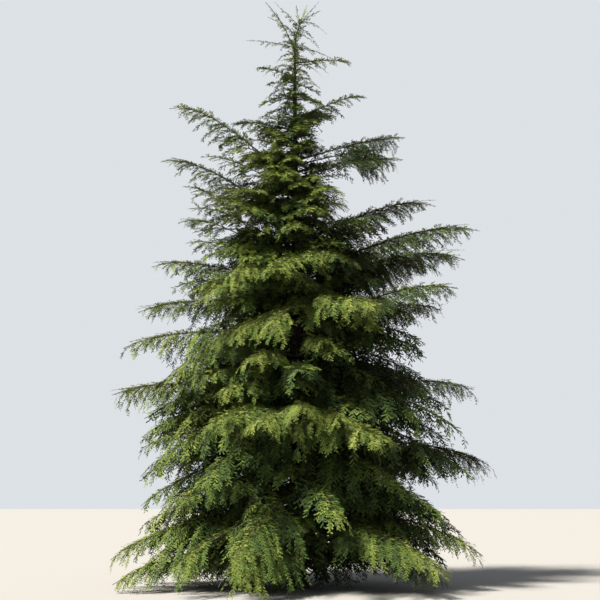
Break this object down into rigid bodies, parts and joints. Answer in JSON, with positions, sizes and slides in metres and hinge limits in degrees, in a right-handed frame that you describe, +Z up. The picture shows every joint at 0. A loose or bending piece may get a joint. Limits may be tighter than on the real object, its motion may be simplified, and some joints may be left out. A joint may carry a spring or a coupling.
{
  "type": "eastern hemlock tree",
  "caption": "Young evergreen conifer in the open: tapering trunk from a flat cut at the ground, with arched boughs all round that carry drooping sprays of short needles.",
  "frame": {"origin": "middle of the flat cut under the trunk, at ground level", "axes": "+Z up the trunk; +X to the right as seen from the front; -Y towards the front, the side pictured"},
  "size_m": [6.3825, 6.0783, 9.9713],
  "materials": {
    "bark": "rough furrowed grey-brown bark",
    "foliage": "satin dark green needles, yellow-green at the lit tips"
  },
  "bodies": {
    "root": {"bough_01_front": "bark", "bough_02_back": "bark", "bough_03_right": "bark", "bough_04_left": "bark", "bough_05_front": "bark", "bough_06_front": "bark", "bough_07_back": "bark", "bough_08_left": "bark", "foliage_01_front": "foliage", "foliage_02_back": "foliage", "foliage_03_right": "foliage", "foliage_04_left": "foliage", "foliage_05_front": "foliage", "foliage_06_front": "foliage", "foliage_07_back": "foliage", "foliage_08_left": "foliage", "foliage_09_right": "foliage", "foliage_10_back": "foliage", "foliage_11_left": "foliage", "foliage_12_front": "foliage", "foliage_13_front": "foliage", "foliage_14_left": "foliage", "foliage_15_left": "foliage", "foliage_16_right": "foliage", "foliage_17_front": "foliage", "foliage_18_back": "foliage", "foliage_19_right": "foliage", "foliage_20_left": "foliage", "foliage_21_right": "foliage", "foliage_22_back": "foliage", "foliage_23_front": "foliage", "foliage_24_left": "foliage", "foliage_25_left": "foliage", "foliage_26_right": "foliage", "foliage_27_front": "foliage", "foliage_28_left": "foliage", "foliage_29_left": "foliage", "foliage_30_right": "foliage", "foliage_31_left": "foliage", "foliage_32_right": "foliage", "foliage_33_back": "foliage", "foliage_34_front": "foliage", "foliage_35_left": "foliage", "foliage_36_front": "foliage", "foliage_37_back": "foliage", "foliage_38_left": "foliage", "foliage_39_right": "foliage", "foliage_40_right": "foliage", "foliage_41_back": "foliage", "foliage_42_front": "foliage", "foliage_43_left": "foliage", "foliage_44_right": "foliage", "foliage_45_back": "foliage", "foliage_46_front": "foliage", "foliage_47_left": "foliage", "foliage_48_left": "foliage", "foliage_49_back": "foliage", "foliage_50_right": "foliage", "foliage_leader": "foliage", "trunk": "bark"}
  },
  "joints": []
}
